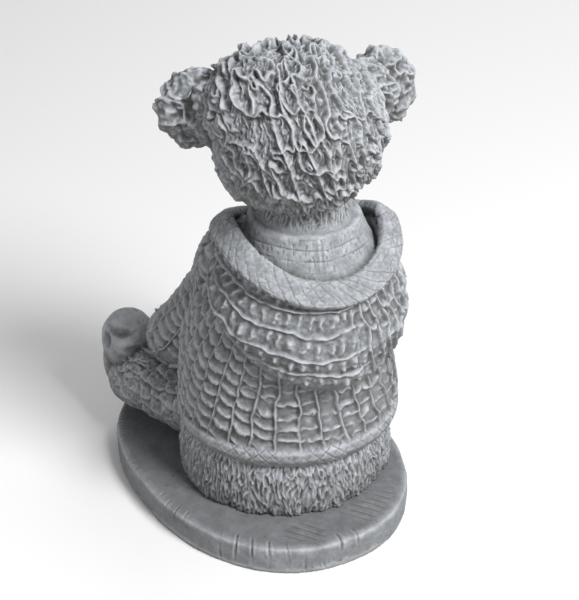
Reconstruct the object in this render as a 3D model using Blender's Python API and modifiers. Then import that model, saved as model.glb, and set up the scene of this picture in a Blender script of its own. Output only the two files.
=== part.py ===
"""A cast stone garden ornament: a teddy bear in a hooded jumper, sitting on an oval slab.

The work is one casting. The bear faces -Y and its left side is +X. The soft body is
gathered from balls, stacks of ovals, limbs and one band, fused into one skin, and the
fur, the knitting and the bands are then carved along that skin.
"""
from math import cos, pi, radians, sin

import bmesh
import bpy
import numpy as np
from mathutils import Euler, Matrix, Vector

# Driving sizes in metres
SLAB_LENGTH = 0.211
SLAB_WIDTH = 0.155
SLAB_THICKNESS = 0.018
SLAB_EDGE_ROUNDING = 0.0045
SLAB_POWER = 2.2
BEAR_HEIGHT = 0.2800

# The bear's own proportions are given in shares of its height, 280 to the height
SHARES = 280.0
UNIT = BEAR_HEIGHT / SHARES

# Skin and facets
VOXEL = 0.0017
EVEN_VOXEL = 0.00136
SMOOTHING_ROUNDS = 5
FACETS = 9800

# Turns of the head and of the hood towards the bear's right, in degrees
HEAD_TURN = -16.0
HOOD_TURN = -13.7

# Knitting, in shares: the counts, the spacing, the depth and the width of a crest
KNIT_COLUMNS = 30
KNIT_COLUMN = 12.0
KNIT_RUNG = 8.0
KNIT_DEPTH = 3.4
KNIT_CREST = 1.7
KNIT_FLOOR = 0.35
RUNG_BOW = 0.35
RUNG_HEIGHT = 0.85
RUNG_FADE = 0.4
SLEEVE_COLUMNS = 11
SLEEVE_COLUMN = 11.0
HOOD_ROW = 11.5
HOOD_START = 0.74
HOOD_RIBS = 44
HOOD_RIB = 8.0
HOOD_DEPTH = 3.4
# The gutter ends this far out, as a share of the hood's own section
GUTTER_END = 0.9
GUTTER_FADE = 0.06
# How far the knitting wanders, in columns and in rungs, and over what length
COLUMN_SWAY = 0.13
RUNG_SWAY = 0.2
SWAY_LENGTH = 14.0

# Fur, in shares: the size of a lock and its depth
HEAD_LOCK = (9.5, 9.5, 18.0)
HEAD_DEPTH = 4.2
EYE_CALM_START = 8.0
EYE_CALM_LENGTH = 14.0
EYE_CALM_LEAST = 0.15
EAR_SCOOP = (12.0, 12.0, 12.0)
EAR_DEPTH = 3.0
EAR_CREST = 0.3
MUZZLE_LOCK = (6.0, 6.0, 9.0)
MUZZLE_DEPTH = 0.9
SKIRT_LOCK = (7.5, 7.5, 19.0)
SKIRT_DEPTH = 3.6
SKIRT_CREST = 0.6
LEG_LOCK = (8.0, 11.0, 8.0)
LEG_DEPTH = 3.0
LEG_CREST = 0.5
# The level between crest and scoop that stays on the skin
HEAD_FLOOR = 0.25
LOCK_FLOOR = 0.4
MUZZLE_FLOOR = 0.3
FOOT_CREASE_DEPTH = 2.0
FOOT_CREASE_WIDTH = 0.3
FOOT_CREASES = 2.6
FOOT_CREASE_LOW = 8.0
FOOT_CREASE_REACH = 4.0
BLEND = 1.2
# Skin this near the ground is laid flat on it, in metres
GROUND_REACH = 0.0006
# The carving dies away over this height above the slab
CLEAR_START = 0.5
CLEAR_LENGTH = 2.0

STONE_COLOUR = (0.36, 0.375, 0.40, 1.0)
STONE_ROUGHNESS = 0.9


def clear_scene():
    """Remove the objects that the scene starts with."""
    for thing in list(bpy.data.objects):
        bpy.data.objects.remove(thing, do_unlink=True)


class Ball:
    """An ellipsoid with its own turn."""

    def __init__(self, centre, radii, turn=(0.0, 0.0, 0.0)):
        self.centre = np.array(centre, float)
        self.radii = np.array(radii, float)
        self.turn = Euler([radians(angle) for angle in turn]).to_matrix()

    def add_to(self, mesh):
        place = Matrix.Translation(Vector(self.centre)) @ self.turn.to_4x4()
        place = place @ Matrix.Diagonal((*self.radii, 1.0))
        bmesh.ops.create_uvsphere(mesh, u_segments=40, v_segments=24, radius=1.0, matrix=place)

    def depth(self, points):
        local = (points - self.centre) @ np.array(self.turn)
        near = np.linalg.norm(local / self.radii, axis=1) + 1e-9
        slope = np.linalg.norm(local / self.radii ** 2, axis=1) + 1e-9
        return near * (near - 1.0) / slope


class Limb:
    """A tapering arm or leg: balls set close together along a bent line."""

    def __init__(self, points, radii, step=3.0):
        self.points = np.array(points, float)
        self.radii = np.array(radii, float)
        self.step = step
        lengths = np.linalg.norm(np.diff(self.points, axis=0), axis=1)
        self.starts = np.concatenate([[0.0], np.cumsum(lengths)])

    def add_to(self, mesh):
        count = int(self.starts[-1] / self.step) + 2
        for along in np.linspace(0.0, self.starts[-1], count):
            spot = [np.interp(along, self.starts, self.points[:, axis]) for axis in range(3)]
            radius = np.interp(along, self.starts, self.radii)
            bmesh.ops.create_icosphere(mesh, subdivisions=3, radius=radius,
                                       matrix=Matrix.Translation(Vector(spot)))

    def nearest(self, points):
        """The depth, the way along the limb and the foot point of each point."""
        best = np.full(len(points), 1e9)
        along = np.zeros(len(points))
        foot = np.zeros_like(points)
        for index in range(len(self.points) - 1):
            start = self.points[index]
            run = self.points[index + 1] - start
            share = np.clip((points - start) @ run / (run @ run), 0.0, 1.0)
            spot = start + share[:, None] * run
            radius = self.radii[index] + share * (self.radii[index + 1] - self.radii[index])
            depth = np.linalg.norm(points - spot, axis=1) - radius
            closer = depth < best
            best = np.where(closer, depth, best)
            along = np.where(closer, self.starts[index] + share * np.linalg.norm(run), along)
            foot = np.where(closer[:, None], spot, foot)
        return best, along, foot

    def depth(self, points):
        return self.nearest(points)[0]


class Stack:
    """Oval sections laid over each other: (height, side, back, half width, half length)."""

    def __init__(self, origin, sections, turn=0.0, fall=0.0, power=2.0):
        self.origin = np.array(origin, float)
        self.sections = np.array(sections, float)
        self.angle = radians(turn)
        self.fall = fall
        self.power = power

    def to_local(self, points):
        """Side, back and level of each point, with the fall towards the back taken out."""
        offset = points - self.origin
        side = offset[:, 0] * cos(self.angle) + offset[:, 1] * sin(self.angle)
        back = -offset[:, 0] * sin(self.angle) + offset[:, 1] * cos(self.angle)
        return side, back, offset[:, 2] + self.fall * back

    def to_world(self, side, back, level):
        x = self.origin[0] + side * cos(self.angle) - back * sin(self.angle)
        y = self.origin[1] + side * sin(self.angle) + back * cos(self.angle)
        return Vector((x, y, self.origin[2] + level - self.fall * back))

    def add_to(self, mesh, around=64):
        rings = []
        for level, side, back, half_width, half_length in self.sections:
            ring = []
            for step in range(around):
                angle = 2.0 * pi * step / around
                c, s = cos(angle), sin(angle)
                reach = (abs(c) ** self.power + abs(s) ** self.power) ** (-1.0 / self.power)
                ring.append(mesh.verts.new(self.to_world(side + half_width * c * reach,
                                                         back + half_length * s * reach, level)))
            rings.append(ring)
        for lower, upper in zip(rings, rings[1:]):
            for step in range(around):
                ahead = (step + 1) % around
                mesh.faces.new((lower[step], lower[ahead], upper[ahead], upper[step]))
        mesh.faces.new(list(reversed(rings[0])))
        mesh.faces.new(rings[-1])

    def oval(self, points):
        """How far out each point is in its own section, and the mean radius there."""
        side, back, level = self.to_local(points)
        values = [np.interp(level, self.sections[:, 0], self.sections[:, column])
                  for column in range(1, 5)]
        out = (np.abs((side - values[0]) / values[2]) ** self.power
               + np.abs((back - values[1]) / values[3]) ** self.power) ** (1.0 / self.power)
        return out, np.sqrt(values[2] * values[3]), level

    def depth(self, points):
        out, radius, level = self.oval(points)
        over = np.maximum(level - self.sections[-1, 0], self.sections[0, 0] - level)
        return np.maximum((out - 1.0) * radius, over)

    def around(self, points):
        """The angle about the stack, nought at the back."""
        side, back, level = self.to_local(points)
        centre_side = np.interp(level, self.sections[:, 0], self.sections[:, 1])
        centre_back = np.interp(level, self.sections[:, 0], self.sections[:, 2])
        return np.arctan2(side - centre_side, back - centre_back)


class Band:
    """A flat band that runs in a loop, its face leaning outwards and down."""

    def __init__(self, stack, path, half_width, half_thickness, lean, power=4):
        self.lean = radians(lean)
        self.power = power
        self.half_width = half_width
        self.half_thickness = half_thickness
        self.path = np.array([stack.to_world(*spot) for spot in path])
        ahead = np.roll(self.path, -1, axis=0) - np.roll(self.path, 1, axis=0)
        self.tangents = ahead / np.linalg.norm(ahead, axis=1)[:, None]
        outward = np.cross((0.0, 0.0, 1.0), self.tangents)
        outward /= np.linalg.norm(outward, axis=1)[:, None]
        upward = np.cross(self.tangents, outward)
        self.across = outward * cos(self.lean) - upward * sin(self.lean)
        self.face = outward * sin(self.lean) + upward * cos(self.lean)

    def add_to(self, mesh, around=20):
        rings = []
        for spot, across, face in zip(self.path, self.across, self.face):
            ring = []
            for step in range(around):
                angle = 2.0 * pi * step / around
                c, s = cos(angle), sin(angle)
                reach = (c ** self.power + s ** self.power) ** (-1.0 / self.power)
                ring.append(mesh.verts.new(spot + across * self.half_width * c * reach
                                           + face * self.half_thickness * s * reach))
            rings.append(ring)
        for index, ring in enumerate(rings):
            other = rings[(index + 1) % len(rings)]
            for step in range(around):
                ahead = (step + 1) % around
                mesh.faces.new((ring[step], other[step], other[ahead], ring[ahead]))

    def depth(self, points):
        best = np.full(len(points), 1e9)
        found = np.zeros(len(points), int)
        for index, spot in enumerate(self.path):
            gap = ((points - spot) ** 2).sum(axis=1)
            closer = gap < best
            best = np.where(closer, gap, best)
            found = np.where(closer, index, found)
        offset = points - self.path[found]
        across = (offset * self.across[found]).sum(axis=1) / self.half_width
        height = (offset * self.face[found]).sum(axis=1) / self.half_thickness
        near = (across ** self.power + height ** self.power) ** (1.0 / self.power)
        return (near - 1.0) * self.half_thickness


def turned(side, forward, height, centre, turn):
    """A place on the head: to the bear's left, forward of the middle and above it."""
    angle = radians(turn)
    x = centre[0] + side * cos(angle) + forward * sin(angle)
    y = centre[1] + side * sin(angle) - forward * cos(angle)
    return (x, y, centre[2] + height)


# The bear's parts, in shares, with heights above the slab
HEAD_CENTRE = (-0.5, 45.0, 230.0)
HEAD_RADIUS = 45.5
EAR_SIDE = 50.0
EAR_FORWARD = 19.0
EAR_RISE = 8.0
EAR_RADII = (20.5, 10.5, 23.5)
EAR_ROOT_INSET = (14.0, 11.0, 0.0)
HOOD_ORIGIN = (-8.9, 39.3, 165.2)
HOOD_FALL = 0.32
RIM_SIDE = 46.2
RIM_BACK = 48.6
RIM_FRONT = 42.6
RIM_SHOULDER_RISE = 5.0
RIM_LEFT_RISE = 3.2
RIM_CHEST_FALL = 25.0

hips = Stack((-8.0, 18.0, 0.0), [(-6, 0, 0, 57, 55), (2, 0, 0, 60, 58), (14, 0, 0, 62, 60),
                                 (28, 0, 0, 61, 59), (40, 0, 0, 57, 55)])
torso = Stack((-9.5, 18.0, 0.0), [(30, 0, 0, 57, 55), (46, -1, 0, 64, 62), (68, 0, 0, 62.5, 60),
                                  (92, 1, 1, 60, 58), (114, 1, 4, 54, 54), (134, 2, 7, 46, 48),
                                  (148, 2, 10, 37, 40), (156, 2, 12, 26, 30)])
hem = Stack((-9.5, 18.5, 0.0), [(34, 0, 0, 60, 59), (36, 0, 0, 63, 62), (41, 0, 0, 65.5, 64.5),
                                (46, 0, 0, 65, 64), (50, 0, 0, 60, 59)])
hood = Stack(HOOD_ORIGIN, [(-72, -6, -6, 24, 34), (-63, -4, 0, 39, 46), (-50, -2, 4, 50, 51.5),
                           (-32, 0.5, 6, 55.5, 52), (-16, 1, 8, 49, 44), (-6, 0, 12, 43, 36.5)],
             turn=HOOD_TURN, fall=HOOD_FALL)


def round_stack(middle, sections):
    """A stack of circles: (height, radius)."""
    return Stack((*middle, 0.0), [(level, 0, 0, radius, radius) for level, radius in sections])


roll = round_stack((-7.0, 42.0), [(138, 41), (152, 41), (157, 39.5), (160, 37.6), (163, 36),
                                  (168, 34), (173, 32), (176, 31), (177.5, 29.5)])
neck = round_stack((-6.5, 42.5), [(168, 28.5), (175, 28), (182, 24.5), (190, 22.5), (200, 22)])


def rim_path(scale=1.0, level=0.0, count=72):
    """The hood's edge: low at the back, high over the shoulders and falling to the chest."""
    path = []
    for step in range(count):
        angle = 2.0 * pi * step / count
        side, back = sin(angle), cos(angle)
        rise = RIM_SHOULDER_RISE * side ** 2 + RIM_LEFT_RISE * side
        rise -= RIM_CHEST_FALL * max(-back, 0.0)
        reach = RIM_BACK if back > 0.0 else RIM_FRONT
        path.append((RIM_SIDE * scale * side, reach * scale * back, rise + level))
    return path


rim = Band(hood, rim_path(), 7.8, 3.6, 42.0)
wall = Band(hood, rim_path(0.95, -12.0), 10.0, 4.5, 78.0)


def on_head_at(side, forward, height, radii):
    """A ball that turns with the head."""
    centre = turned(side, forward, height, HEAD_CENTRE, HEAD_TURN)
    return Ball(centre, radii, (0.0, 0.0, HEAD_TURN))


def ear(sign):
    """The ear and the broad foot with which it grows out of the head."""
    inset = np.array(EAR_ROOT_INSET)
    tip = on_head_at(sign * EAR_SIDE, EAR_FORWARD, EAR_RISE, EAR_RADII)
    side, forward, height = np.array((EAR_SIDE, EAR_FORWARD, EAR_RISE)) - inset
    return [tip, on_head_at(sign * side, forward, height, EAR_RADII)]


left_arm = Limb([(18.5, 13, 144), (15.5, -12, 108), (29, -39, 65), (24, -58, 55), (15, -66, 52)],
                [21, 20, 20, 18.5, 16])
right_arm = Limb([(-34, 13, 144), (-38, -14, 108), (-46, -40, 65), (-40, -58, 55),
                  (-31, -66, 52)], [21, 21, 20, 18.5, 16])
left_leg = Limb([(15, -3, 22), (40, -56, 29), (45, -73, 22)], [23, 20.5, 18])
right_leg = Limb([(-31, -3, 22), (-46, -56, 29), (-50, -73, 22)], [23, 21.5, 18.5])
left_foot = Limb([(46, -81, 42), (46, -81, 48.5)], [16, 16.7])
right_foot = Limb([(-50, -81, 42), (-50, -81, 50)], [16, 17])
left_sole = Ball((48, -87, 34), (14, 8, 26), (-6.0, 0.0, 14.0))
right_sole = Ball((-52, -87, 34), (14, 8, 26), (-6.0, 0.0, -14.0))
left_cuff = Limb([(14, -67, 52), (11.5, -68.5, 51.5)], [17.3, 16.8])
right_cuff = Limb([(-30, -67, 52), (-27.5, -68.5, 51.5)], [17.3, 16.8])
left_paw = Ball((4.0, -73, 50), (14, 13, 13.5), (0.0, 0.0, 20.0))
right_paw = Ball((-20.0, -73, 50), (14, 13, 13.5), (0.0, 0.0, -20.0))
head = on_head_at(0, 0, 0, (HEAD_RADIUS, HEAD_RADIUS, HEAD_RADIUS))
crown = on_head_at(17.5, 0, 14, (31.5, 31.5, 31.5))
jaw = on_head_at(0, 13, -11, (39, 36, 35))
cheeks = [on_head_at(side, 6, -18, (28, 28, 28)) for side in (-13.5, 13.5)]
muzzle = on_head_at(0, 40, -12, (22, 20, 17))
nose = on_head_at(0, 58, -3, (9.0, 6.0, 6.5))
eyes = [on_head_at(side, 43, 12, (5.8, 5.8, 5.8)) for side in (-17, 17)]

FINISHES = {
    "head": [head, crown, jaw, *cheeks],
    "ear": [*ear(1), *ear(-1)],
    "face": [muzzle],
    "bead": [nose, *eyes],
    "neck": [neck],
    "roll": [roll],
    "rim": [rim],
    "hood": [hood, wall],
    "knit": [torso],
    "left_sleeve": [left_arm],
    "right_sleeve": [right_arm],
    "cuff": [left_cuff, right_cuff],
    "hem": [hem],
    "skirt": [hips],
    "leg": [left_leg, right_leg],
    "paw": [left_paw, right_paw],
    "foot": [left_foot, right_foot],
    "sole": [left_sole, right_sole],
}


def scatter(cell, channel):
    """An even spread of numbers from 0 to 1, one for each whole-numbered cell."""
    mix = cell[..., 0] * 73856093 ^ cell[..., 1] * 19349663 ^ cell[..., 2] * 83492791
    mix = (mix ^ channel * 2654435761) & 0xFFFFFFFF
    mix = ((mix ^ (mix >> 15)) * 2246822519) & 0xFFFFFFFF
    mix = ((mix ^ (mix >> 13)) * 3266489917) & 0xFFFFFFFF
    return ((mix ^ (mix >> 16)) & 0xFFFFFF) / float(0xFFFFFF)


def swell(points, size, channel):
    """Soft noise from -1 to 1 that changes over the given size."""
    place = points / size
    low = np.floor(place).astype(np.int64)
    share = place - low
    share = share * share * (3.0 - 2.0 * share)
    total = np.zeros(len(points))
    for corner in np.ndindex(2, 2, 2):
        pick = np.array(corner)
        weight = np.prod(np.where(pick, share, 1.0 - share), axis=1)
        total += weight * scatter(low + pick, channel)
    return total * 2.0 - 1.0


def cells(points, size, channel):
    """Distance to the nearest and to the next scattered seed, in cells."""
    place = points / np.array(size)
    low = np.floor(place).astype(np.int64)
    first = np.full(len(points), 9.0)
    second = np.full(len(points), 9.0)
    for corner in np.ndindex(3, 3, 3):
        cell = low + np.array(corner) - 1
        seed = cell + 0.15 + 0.7 * np.stack([scatter(cell, channel + k) for k in range(3)], axis=1)
        gap = np.linalg.norm(place - seed, axis=1)
        second = np.minimum(second, np.maximum(first, gap))
        first = np.minimum(first, gap)
    return first, second


def net(points, size, channel, width=0.45, warp=0.25):
    """Thin crests round scooped cells: 1 on a crest and 0 in a scoop."""
    span = np.array(size)
    bend = np.stack([swell(points, span * 1.6, channel + 20 + k) for k in range(3)], axis=1)
    first, second = cells(points + bend * span * warp, size, channel)
    return np.clip(1.0 - (second - first) / width, 0.0, 1.0) ** 1.5


def ladder(column, rung, column_mm, rung_mm):
    """Knitting: thin upright crests with rounder rungs between them."""
    index = np.floor(column)
    across = np.abs(column - index - 0.5)
    crest = np.exp(-(((0.5 - across) * column_mm / KNIT_CREST) ** 2))
    key = np.stack([index, index * 0, index * 0], axis=1).astype(np.int64)
    place = rung + scatter(key, 5)
    place = place - RUNG_BOW * (0.25 - across ** 2)
    gap = np.abs(place - np.floor(place) - 0.5) * rung_mm
    step = np.exp(-((gap / KNIT_CREST) ** 2)) * (RUNG_HEIGHT - RUNG_FADE * across)
    return np.maximum(crest, step)


def carve_knit(points):
    sway = swell(points, SWAY_LENGTH, 3) * COLUMN_SWAY
    column = torso.around(points) / (2.0 * pi) * KNIT_COLUMNS + sway
    rung = points[:, 2] / KNIT_RUNG + swell(points, SWAY_LENGTH, 4) * RUNG_SWAY
    return KNIT_DEPTH * (ladder(column, rung, KNIT_COLUMN, KNIT_RUNG) - KNIT_FLOOR)


def carve_sleeve(points, arm):
    depth, along, foot = arm.nearest(points)
    offset = points - foot
    angle = np.arctan2(offset[:, 0], offset[:, 1] + offset[:, 2])
    sway = swell(points, SWAY_LENGTH, 3) * COLUMN_SWAY
    column = angle / (2.0 * pi) * SLEEVE_COLUMNS + sway
    rung = along / KNIT_RUNG + swell(points, SWAY_LENGTH, 4) * RUNG_SWAY
    return KNIT_DEPTH * (ladder(column, rung, SLEEVE_COLUMN, KNIT_RUNG) - KNIT_FLOOR)


def carve_hood(points):
    """Ropes of knitting run round the hood's outside, and the gutter inside it is plain."""
    out, radius, level = hood.oval(points)
    outside = np.clip((out - GUTTER_END) / GUTTER_FADE, 0.0, 1.0)
    row = level / HOOD_ROW + HOOD_START + swell(points, SWAY_LENGTH, 6) * COLUMN_SWAY
    rib = hood.around(points) / (2.0 * pi) * HOOD_RIBS + swell(points, SWAY_LENGTH, 7) * RUNG_SWAY
    return outside * HOOD_DEPTH * (ladder(row, rib, HOOD_ROW, HOOD_RIB) - KNIT_FLOOR)


def carve_head(points):
    """Deep locks all over, and shorter ones round the eyes."""
    gap = np.min([np.linalg.norm(points - eye.centre, axis=1) for eye in eyes], axis=0)
    calm = np.clip((gap - EYE_CALM_START) / EYE_CALM_LENGTH, EYE_CALM_LEAST, 1.0)
    return HEAD_DEPTH * calm * (net(points, HEAD_LOCK, 11) - HEAD_FLOOR)


def carve_ear(points):
    return EAR_DEPTH * (net(points, EAR_SCOOP, 31, width=EAR_CREST) - LOCK_FLOOR)


def carve_skirt(points):
    return SKIRT_DEPTH * (net(points, SKIRT_LOCK, 41, width=SKIRT_CREST) - LOCK_FLOOR)


def carve_leg(points):
    return LEG_DEPTH * (net(points, LEG_LOCK, 52, width=LEG_CREST) - LOCK_FLOOR)


def carve_foot(points):
    """Soft creases run down from the top of each foot."""
    total = np.zeros(len(points))
    for foot in (left_foot, right_foot):
        local = points - foot.points[1]
        angle = np.arctan2(local[:, 0], local[:, 2] + FOOT_CREASE_LOW)
        near = foot.depth(points) < FOOT_CREASE_REACH
        behind = np.clip((local[:, 1] + 2.0) / 8.0, 0.0, 1.0)
        crease = np.exp(-((np.abs(np.sin(angle * FOOT_CREASES)) / FOOT_CREASE_WIDTH) ** 2))
        total -= near * behind * FOOT_CREASE_DEPTH * crease
    return total


def carve_face(points):
    return MUZZLE_DEPTH * (net(points, MUZZLE_LOCK, 62, width=LEG_CREST) - MUZZLE_FLOOR)


CARVING = {
    "head": carve_head,
    "ear": carve_ear,
    "face": carve_face,
    "hood": carve_hood,
    "knit": carve_knit,
    "left_sleeve": lambda points: carve_sleeve(points, left_arm),
    "right_sleeve": lambda points: carve_sleeve(points, right_arm),
    "skirt": carve_skirt,
    "leg": carve_leg,
    "paw": carve_leg,
    "foot": carve_foot,
}


def finish_weights(points):
    """How much each finish owns each point: nearly all or nothing, soft at the seams."""
    depths = np.stack([np.min([shape.depth(points) for shape in shapes], axis=0)
                       for shapes in FINISHES.values()])
    nearness = np.exp(-np.clip(depths - depths.min(axis=0), 0.0, 40.0) / BLEND)
    return nearness / nearness.sum(axis=0)


def slab_sections():
    """The slab's section heights and how far its edge draws in at each of them."""
    low = 0.0
    high = SLAB_THICKNESS
    soft = SLAB_EDGE_ROUNDING
    foot = soft * 0.1
    sections = [(low, foot), (low + foot, 0.0)]
    for step in range(5):
        angle = 0.5 * pi * step / 4.0
        sections.append((high - soft + soft * sin(angle), soft * (1.0 - cos(angle))))
    return [(level, 0.0, 0.0, SLAB_WIDTH / 2 - inset, SLAB_LENGTH / 2 - inset)
            for level, inset in sections]


def apply_modifiers(piece):
    """Give the object the mesh that its modifiers make."""
    graph = bpy.context.evaluated_depsgraph_get()
    made = bpy.data.meshes.new_from_object(piece.evaluated_get(graph))
    piece.modifiers.clear()
    piece.data = made


def fused_skin(collection):
    """The bear's parts and the slab as one closed skin."""
    mesh = bmesh.new()
    for shapes in FINISHES.values():
        for shape in shapes:
            shape.add_to(mesh)
    bmesh.ops.scale(mesh, vec=(UNIT, UNIT, UNIT), verts=mesh.verts)
    bmesh.ops.translate(mesh, vec=(0.0, 0.0, SLAB_THICKNESS), verts=mesh.verts)
    Stack((0.0, 0.0, 0.0), slab_sections(), power=SLAB_POWER).add_to(mesh, around=96)
    data = bpy.data.meshes.new("teddy_bear_statue")
    mesh.to_mesh(data)
    mesh.free()
    piece = bpy.data.objects.new("teddy_bear_statue", data)
    collection.objects.link(piece)
    fuse = piece.modifiers.new("Fuse", "REMESH")
    fuse.mode = "VOXEL"
    fuse.voxel_size = VOXEL
    soften = piece.modifiers.new("Soften", "SMOOTH")
    soften.factor = 0.5
    soften.iterations = int(SMOOTHING_ROUNDS)
    apply_modifiers(piece)
    return piece


def carve(piece):
    """Raise the crests and sink the scoops along the skin's own normals."""
    data = piece.data
    count = len(data.vertices)
    places = np.empty(count * 3)
    normals = np.empty(count * 3)
    data.vertices.foreach_get("co", places)
    data.vertices.foreach_get("normal", normals)
    places = places.reshape(-1, 3)
    normals = normals.reshape(-1, 3)
    points = (places - np.array((0.0, 0.0, SLAB_THICKNESS))) / UNIT
    weights = finish_weights(points)
    height = np.zeros(count)
    for name, weight in zip(FINISHES, weights):
        if name in CARVING:
            height += weight * CARVING[name](points)
    slab = Stack((0.0, 0.0, 0.0), slab_sections(), power=SLAB_POWER)
    clear = slab.depth(places) / UNIT
    height *= np.clip((clear - CLEAR_START) / CLEAR_LENGTH, 0.0, 1.0)
    places += normals * height[:, None] * UNIT
    data.vertices.foreach_set("co", places.ravel())
    data.update()


def settle(piece):
    """Lay the underside flat on the ground, with the origin under the middle."""
    data = piece.data
    places = np.empty(len(data.vertices) * 3)
    data.vertices.foreach_get("co", places)
    places = places.reshape(-1, 3)
    places[places[:, 2] < GROUND_REACH, 2] = 0.0
    low = places.min(axis=0)
    high = places.max(axis=0)
    places -= np.array(((low[0] + high[0]) / 2, (low[1] + high[1]) / 2, low[2]))
    data.vertices.foreach_set("co", places.ravel())
    data.update()


def facet(piece):
    """Bring the skin down to large facets that keep the crests."""
    refuse = piece.modifiers.new("Even", "REMESH")
    refuse.mode = "VOXEL"
    refuse.voxel_size = EVEN_VOXEL
    apply_modifiers(piece)
    piece.data.calc_loop_triangles()
    reduce = piece.modifiers.new("Facet", "DECIMATE")
    reduce.ratio = FACETS / len(piece.data.loop_triangles)
    reduce.use_collapse_triangulate = True
    apply_modifiers(piece)


def stone():
    material = bpy.data.materials.new("cast_stone")
    material.use_nodes = True
    shader = material.node_tree.nodes["Principled BSDF"]
    shader.inputs["Base Color"].default_value = STONE_COLOUR
    shader.inputs["Roughness"].default_value = STONE_ROUGHNESS
    shader.inputs["Metallic"].default_value = 0.0
    return material


def main():
    clear_scene()
    collection = bpy.data.collections.new("teddy_bear_statue")
    bpy.context.scene.collection.children.link(collection)
    piece = fused_skin(collection)
    carve(piece)
    facet(piece)
    settle(piece)
    piece.data.materials.clear()
    piece.data.materials.append(stone())
    piece.data.shade_flat()


main()
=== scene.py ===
"""The looks of a cast stone teddy bear in a hooded jumper, sitting on an oval slab.

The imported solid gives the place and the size. Five finely carved skins replace it, the
head, the hood, the jumper, the fur below and the slab. Each is fused from the solid's own
balls, ovals, limbs and bands, and locks of fur, knitting, incised lines and creases are
then carved along it. A dry cement finish lies on top.
"""

from functools import partial
from math import cos, pi, radians, sin

import bmesh
import bpy
import numpy as np
from mathutils import Euler, Matrix, Vector


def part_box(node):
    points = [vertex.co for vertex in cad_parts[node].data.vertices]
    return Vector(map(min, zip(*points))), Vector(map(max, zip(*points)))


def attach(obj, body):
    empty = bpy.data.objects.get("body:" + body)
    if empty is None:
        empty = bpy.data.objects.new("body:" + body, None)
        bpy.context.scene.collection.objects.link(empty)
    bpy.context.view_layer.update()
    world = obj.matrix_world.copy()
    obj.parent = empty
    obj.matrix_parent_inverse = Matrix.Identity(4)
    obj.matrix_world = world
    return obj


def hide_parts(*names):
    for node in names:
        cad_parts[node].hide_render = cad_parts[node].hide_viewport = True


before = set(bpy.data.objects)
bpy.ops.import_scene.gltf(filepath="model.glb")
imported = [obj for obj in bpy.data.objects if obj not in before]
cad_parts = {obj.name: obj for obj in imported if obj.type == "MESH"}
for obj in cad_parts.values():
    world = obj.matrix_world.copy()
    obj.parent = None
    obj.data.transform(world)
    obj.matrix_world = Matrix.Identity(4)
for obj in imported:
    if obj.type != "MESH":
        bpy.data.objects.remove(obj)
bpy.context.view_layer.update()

NODE = "teddy_bear_statue"

# Sizes in metres; the slab's width and length come from the frame
LOW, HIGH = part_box(NODE)
SLAB_WIDTH = HIGH.x - LOW.x
SLAB_LENGTH = HIGH.y - LOW.y
SLAB_THICKNESS = 0.018
SLAB_TOP_ROUNDING = 0.0030
SLAB_POWER = 2.2
SLAB_FOOT_INSET = 0.0004
SLAB_FOOT_HEIGHT = 0.0006
MILLIMETRE = 0.001

# The bear's own proportions are in shares. The solid's crown is this many above the slab
CARVED_PEAK = 277.8
UNIT = (HIGH.z - LOW.z - SLAB_THICKNESS) / CARVED_PEAK

# Each carved piece: its finishes, the grid of its first skin in metres, its last facets
PIECES = {
    "bear_head": (("head", "ear", "face", "bead", "neck"), 0.00052, 190000),
    "bear_hood": (("roll", "rim", "hood"), 0.00060, 140000),
    "bear_jumper": (("knit", "left_sleeve", "right_sleeve", "cuff", "hem"), 0.00062, 196000),
    "bear_fur": (("skirt", "leg", "paw", "foot", "sole"), 0.00060, 150000),
}
SLAB_GRID = 0.0009
SLAB_FACETS = 70000
SKIN_SMOOTHING = 14
SLAB_SMOOTHING = 2
# Rounds of softening against which a narrow crest and a wide hollow are measured
CREST_ROUNDS = 9
HOLLOW_ROUNDS = 80
BLEND = 0.8
LEAST_WEIGHT = 0.004

# Turns of the head and of the hood towards the bear's right, in degrees
HEAD_TURN = -16.0
HOOD_TURN = -13.7

# Knitting, in shares: the counts, the widths of a column, the heights of a row, the depths
KNIT_COLUMNS = 30
KNIT_COLUMN = 12.5
KNIT_RUNG = 8.0
KNIT_DEPTH = 2.3
KNIT_CREST = 0.9
SLEEVE_COLUMNS = 9
SLEEVE_COLUMN = 14.0
SLEEVE_RUNG = 7.6
SLEEVE_DEPTH = 1.6 * KNIT_DEPTH
SLEEVE_END = 9.0
HOOD_ROW = 11.5
HOOD_START = 0.74
HOOD_RIBS = 44
HOOD_RIB = 7.8
HOOD_RIB_RUNG = 8.8
HOOD_DEPTH = 2.7

# Fur, in shares: the size of a lock or scoop, the width of its crest and its depth
HEAD_LOCK = (7.4, 15.5, 9.0)
HEAD_CREST = 1.5
HEAD_DEPTH = 4.3
HEAD_SLANT = 0.3
EAR_SCOOP = (12.0, 12.0, 13.0)
EAR_CREST = 1.4
EAR_DEPTH = 2.4
MUZZLE_LOCK = (2.6, 2.6, 4.5)
SKIRT_LOCK = (3.1, 3.1, 12.0)
SKIRT_DEPTH = 2.4
LEG_SCALE = (13.0, 5.8)
LEG_DEPTH = 3.2
LEG_RADIUS = 20.0
MOUTH_DROP = 20.0
MOUTH_CURVE = 0.045
MOUTH_REACH = 11.0
# Behind each foot: the folds' middle, and hollows (outwards, upwards, half sizes, depth)
FOLD_CENTRE = (-9.0, 11.0)
FOOT_HOLLOWS = ((3.7, 9.4, 7.5, 2.7, 2.6), (12.8, 1.5, 2.6, 5.0, 2.2), (-3.0, -1.0, 6.0, 2.2, 1.0))
# The head's fur lies round an axis that points back and up, and its locks run down it
FUR_AXIS = np.array((0.454, 0.786, 0.420))
FUR_SIDE = np.array((-0.866, 0.5, 0.0))

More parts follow.
